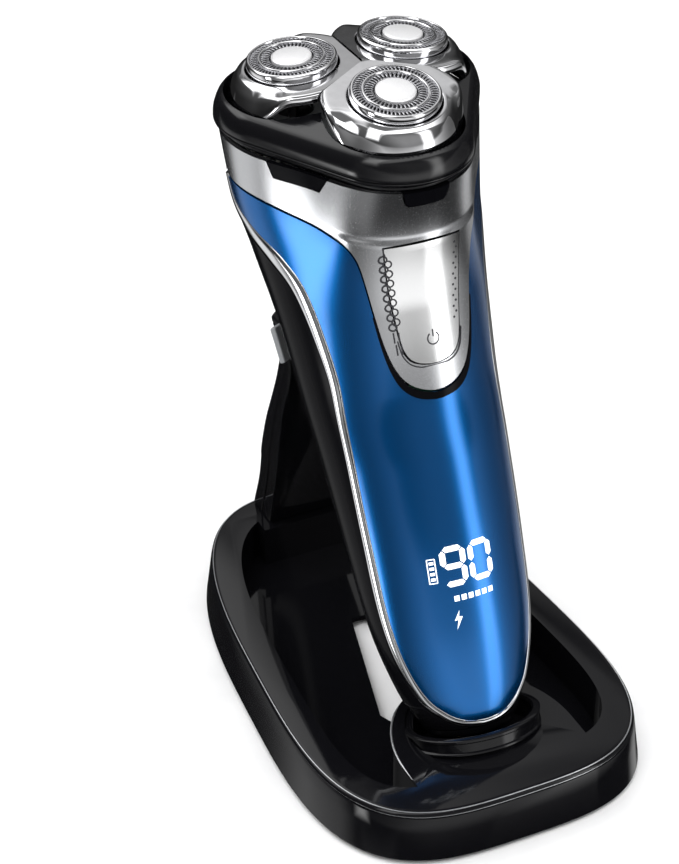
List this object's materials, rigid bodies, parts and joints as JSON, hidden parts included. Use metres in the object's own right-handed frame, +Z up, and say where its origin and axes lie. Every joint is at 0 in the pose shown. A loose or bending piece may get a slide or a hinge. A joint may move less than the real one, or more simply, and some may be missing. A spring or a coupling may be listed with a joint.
{
  "type": "electric shaver",
  "caption": "Cordless rotary shaver with three flexing shaving heads and a lit charge display, leaning in an open-ring charging stand.",
  "frame": {"origin": "centre of the stand's footprint, on the surface it rests on", "axes": "+Z up; the shaver's front faces -Y; +X to the shaver's left as it faces you, the viewer's right"},
  "size_m": [0.0856, 0.134, 0.1612],
  "materials": {
    "stand_black": "piano black",
    "foot_rubber": "matt rubber",
    "dark_plastic": "satin black",
    "pad_rubber": "soft grey liner",
    "gold_contact": "gold plated",
    "gloss_black": "gloss black",
    "blue_front": "deep blue metallic lacquer",
    "bright_trim": "bright silver",
    "silver_satin": "satin silver lacquer",
    "button_silver": "bright silver lacquer",
    "grey_plastic": "moulded grey",
    "circuit_board": "green board",
    "display_light": "white lit segments",
    "battery_wrap": "shrink wrap",
    "steel": "turned steel",
    "brass_gear": "cut brass",
    "head_black": "piano black",
    "nylon_gear": "natural nylon",
    "chrome": "bright plated",
    "cap_steel": "ground shaving steel"
  },
  "bodies": {
    "stand": {"base_shell": "stand_black", "base_plate": "stand_black", "foot_front_left": "foot_rubber", "foot_front_right": "foot_rubber", "foot_rear_left": "foot_rubber", "foot_rear_right": "foot_rubber", "power_inlet": "dark_plastic", "tower_front": "stand_black", "tower_back": "stand_black", "tower_top": "stand_black", "saddle_pad": "pad_rubber", "socket_collar": "stand_black", "socket_pedestal": "stand_black", "charge_pin_left": "gold_contact", "charge_pin_right": "gold_contact"},
    "shaver": {"bottom_cap": "gloss_black", "contact_plate_left": "gold_contact", "contact_plate_right": "gold_contact", "front_shell": "blue_front", "side_trim": "bright_trim", "back_shell": "gloss_black", "neck_shell": "silver_satin", "neck_collar": "dark_plastic", "chassis": "grey_plastic", "circuit_board": "circuit_board", "display_module": "display_light", "battery_cell": "battery_wrap", "drive_motor": "steel", "gear_plate": "grey_plastic", "drive_cover": "dark_plastic", "hinge_pin": "steel", "hinge_bracket": "dark_plastic"},
    "power_button": {"power_button": "button_silver"},
    "release_button": {"release_button": "dark_plastic"},
    "motor_rotor": {"motor_pinion": "brass_gear"},
    "shaving_unit": {"head_base": "head_black", "retaining_frame": "grey_plastic"},
    "frame_lock": {"frame_lock": "nylon_gear"},
    "drive_front": {"drive_gear_front": "nylon_gear", "spindle_front": "steel"},
    "petal_front": {"petal_front": "chrome", "cutter_cap_front": "cap_steel", "trim_disc_front": "chrome"},
    "cutter_front": {"blade_front": "steel"},
    "drive_right": {"drive_gear_right": "nylon_gear", "spindle_right": "steel"},
    "petal_right": {"petal_right": "chrome", "cutter_cap_right": "cap_steel", "trim_disc_right": "chrome"},
    "cutter_right": {"blade_right": "steel"},
    "drive_left": {"drive_gear_left": "nylon_gear", "spindle_left": "steel"},
    "petal_left": {"petal_left": "chrome", "cutter_cap_left": "cap_steel", "trim_disc_left": "chrome"},
    "cutter_left": {"blade_left": "steel"}
  },
  "joints": [
    {"name": "shaver_lift", "type": "slide", "parent": "stand", "child": "shaver", "axis": [0, 0.3584, 0.9336], "range_m": [0, 0.12]},
    {"name": "power_press", "type": "slide", "parent": "shaver", "child": "power_button", "axis": [0, 0.9336, -0.3584], "range_m": [0, 0.0008], "stiffness_N_per_m": 400},
    {"name": "release_press", "type": "slide", "parent": "shaver", "child": "release_button", "axis": [0, 1, 0], "range_m": [0, 0.001], "stiffness_N_per_m": 400},
    {"name": "head_hinge", "type": "hinge", "parent": "shaver", "child": "shaving_unit", "pos_m": [0, 0.0486, 0.1452], "axis": [-1, 0, 0], "range_deg": [0, 100]},
    {"name": "lock_turn", "type": "hinge", "parent": "shaving_unit", "child": "frame_lock", "pos_m": [0, 0.0242, 0.1461], "axis": [0, 0, 1], "range_deg": [0, 90]},
    {"name": "motor_spin", "type": "hinge", "parent": "shaver", "child": "motor_rotor", "pos_m": [0, 0.0242, 0.1405], "axis": [0, 0, 1], "continuous": true},
    {"name": "drive_spin_front", "type": "hinge", "parent": "shaver", "child": "drive_front", "pos_m": [0, 0.00855, 0.1405], "axis": [0, 0, 1], "continuous": true},
    {"name": "petal_tilt_front", "type": "hinge", "parent": "shaving_unit", "child": "petal_front", "pos_m": [0, 0.00855, 0.154], "axis": [1, 0, 0], "range_deg": [-2, 2], "stiffness_Nm_per_rad": 0.05},
    {"name": "cutter_spin_front", "type": "hinge", "parent": "petal_front", "child": "cutter_front", "pos_m": [0, 0.00855, 0.154], "axis": [0, -0.1392, 0.9903], "continuous": true},
    {"name": "drive_spin_right", "type": "hinge", "parent": "shaver", "child": "drive_right", "pos_m": [0.01355, 0.03202, 0.1405], "axis": [0, 0, 1], "continuous": true},
    {"name": "petal_tilt_right", "type": "hinge", "parent": "shaving_unit", "child": "petal_right", "pos_m": [0.01355, 0.03202, 0.154], "axis": [-0.5, 0.866, 0], "range_deg": [-2, 2], "stiffness_Nm_per_rad": 0.05},
    {"name": "cutter_spin_right", "type": "hinge", "parent": "petal_right", "child": "cutter_right", "pos_m": [0.01355, 0.03202, 0.154], "axis": [0.0755, 0.0436, 0.9962], "continuous": true},
    {"name": "drive_spin_left", "type": "hinge", "parent": "shaver", "child": "drive_left", "pos_m": [-0.01355, 0.03202, 0.1405], "axis": [0, 0, 1], "continuous": true},
    {"name": "petal_tilt_left", "type": "hinge", "parent": "shaving_unit", "child": "petal_left", "pos_m": [-0.01355, 0.03202, 0.154], "axis": [-0.5, -0.866, 0], "range_deg": [-2, 2], "stiffness_Nm_per_rad": 0.05},
    {"name": "cutter_spin_left", "type": "hinge", "parent": "petal_left", "child": "cutter_left", "pos_m": [-0.01355, 0.03202, 0.154], "axis": [-0.0755, 0.0436, 0.9962], "continuous": true}
  ],
  "couplings": [
    {"joint": "motor_spin", "follows": "drive_spin_front", "ratio": -4},
    {"joint": "cutter_spin_front", "follows": "drive_spin_front", "ratio": 1},
    {"joint": "drive_spin_right", "follows": "drive_spin_front", "ratio": 1},
    {"joint": "cutter_spin_right", "follows": "drive_spin_front", "ratio": 1},
    {"joint": "drive_spin_left", "follows": "drive_spin_front", "ratio": 1},
    {"joint": "cutter_spin_left", "follows": "drive_spin_front", "ratio": 1}
  ]
}
